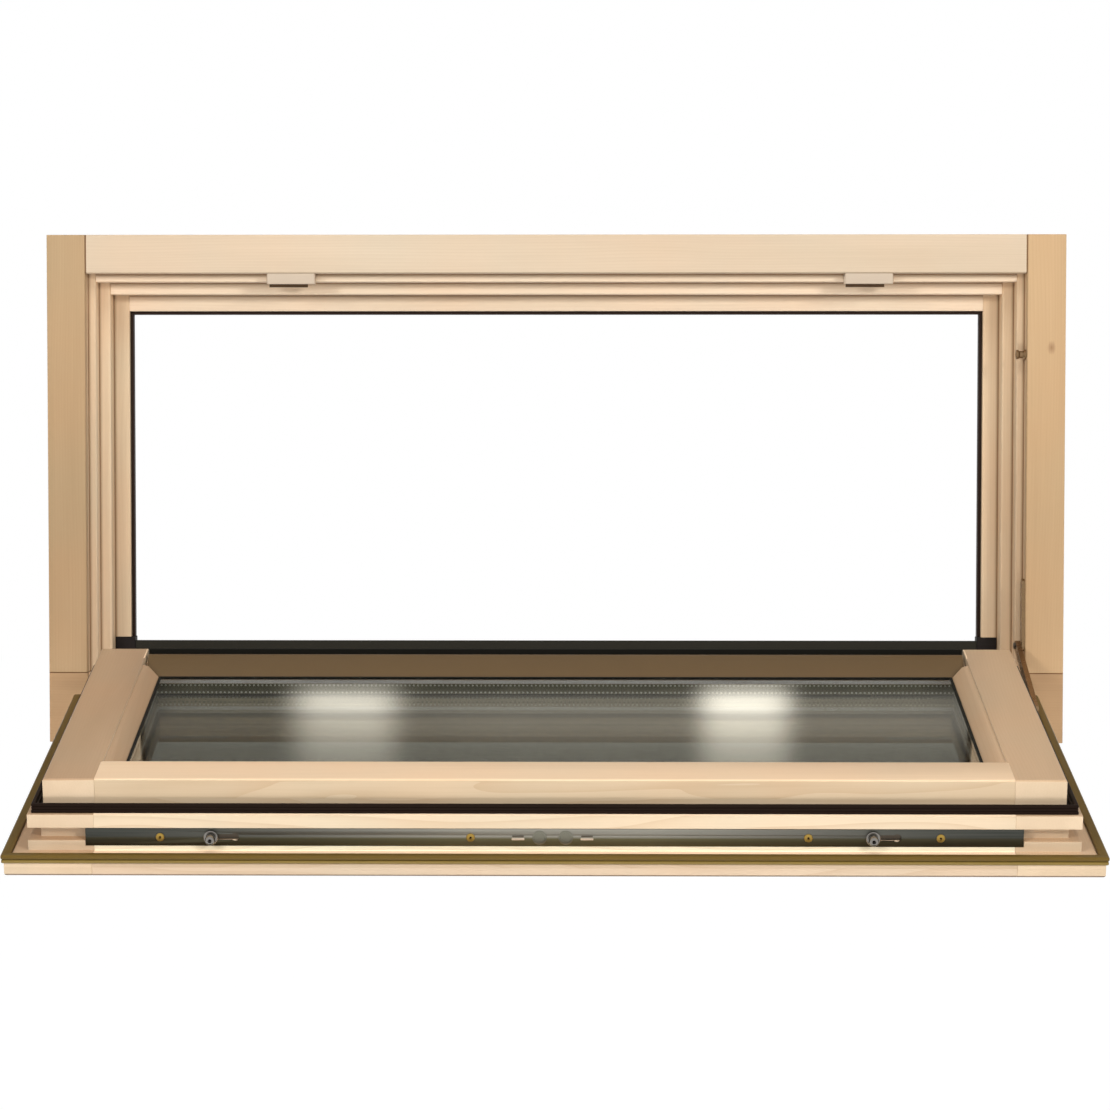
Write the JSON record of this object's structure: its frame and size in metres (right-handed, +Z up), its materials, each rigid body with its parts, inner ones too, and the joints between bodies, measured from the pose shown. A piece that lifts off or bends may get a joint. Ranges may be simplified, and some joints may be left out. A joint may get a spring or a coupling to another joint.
{
  "type": "bottom-hung timber window",
  "caption": "Timber window whose triple-glazed sash tips into the room on bottom hinges, with sliding roller lock, side stay, rain bar and drip cover; shown fully tipped open.",
  "frame": {"origin": "middle of the sill's underside, half-way through the frame's depth", "axes": "+X along the sill to the right seen from the room, +Y outdoors, +Z up"},
  "size_m": [1.2, 0.6617, 0.6832],
  "materials": {
    "frame_wood": "clear satin varnish on softwood",
    "sash_wood": "clear satin varnish on softwood",
    "zinc_steel": "bright zinc plate",
    "dark_aluminium": "dark powder coat",
    "black_plastic": "matt",
    "dark_rubber": "matt",
    "olive_rubber": "satin",
    "bronze_aluminium": "satin bronze coat",
    "clear_glass": "clear",
    "spacer_aluminium": "mill",
    "dark_bronze_metal": "satin"
  },
  "bodies": {
    "frame": {"frame_head": "frame_wood", "frame_left_jamb": "frame_wood", "frame_right_jamb": "frame_wood", "frame_bottom_rail": "frame_wood", "rain_bar": "dark_aluminium", "rain_bar_left_cap": "black_plastic", "rain_bar_right_cap": "black_plastic", "opening_trim": "dark_rubber", "left_keep": "zinc_steel", "right_keep": "zinc_steel", "stay_bracket": "zinc_steel", "stay_catch_pin": "zinc_steel", "left_hinge_frame_leaf": "zinc_steel", "right_hinge_frame_leaf": "zinc_steel"},
    "sash": {"sash_top_rail": "sash_wood", "sash_bottom_rail": "sash_wood", "sash_left_stile": "sash_wood", "sash_right_stile": "sash_wood", "sash_drip_cover": "bronze_aluminium", "sash_edge_strip": "dark_rubber", "glazing_seal": "dark_rubber", "outer_pane": "clear_glass", "middle_pane": "clear_glass", "inner_pane": "clear_glass", "outer_spacer": "spacer_aluminium", "inner_spacer": "spacer_aluminium", "setting_blocks": "black_plastic", "top_glazing_bead": "sash_wood", "bottom_glazing_bead": "sash_wood", "left_glazing_bead": "sash_wood", "right_glazing_bead": "sash_wood", "overlap_gasket": "olive_rubber", "mid_gasket": "dark_rubber", "lock_faceplate": "zinc_steel", "lock_gearbox": "zinc_steel", "handle_rose": "dark_bronze_metal", "left_hinge_sash_leaf": "zinc_steel", "right_hinge_sash_leaf": "zinc_steel", "stay_track": "zinc_steel"},
    "lock_bar": {"drive_rod": "zinc_steel", "left_lock_cam": "zinc_steel", "right_lock_cam": "zinc_steel"},
    "stay_arm": {"stay_arm": "zinc_steel"}
  },
  "joints": [
    {"name": "sash_tilt", "type": "hinge", "parent": "frame", "child": "sash", "pos_m": [0, -0.08, 0.031], "axis": [-1, 0, 0], "range_deg": [0, 103]},
    {"name": "lock_slide", "type": "slide", "parent": "sash", "child": "lock_bar", "axis": [1, 0, 0], "range_m": [0, 0.02]},
    {"name": "stay_swing", "type": "hinge", "parent": "frame", "child": "stay_arm", "pos_m": [0.547, -0.038, 0.115], "axis": [-1, 0, 0], "range_deg": [0, 112.2]}
  ],
  "couplings": [
    {"joint": "stay_swing", "follows": "sash_tilt", "ratio": 1.0884}
  ]
}
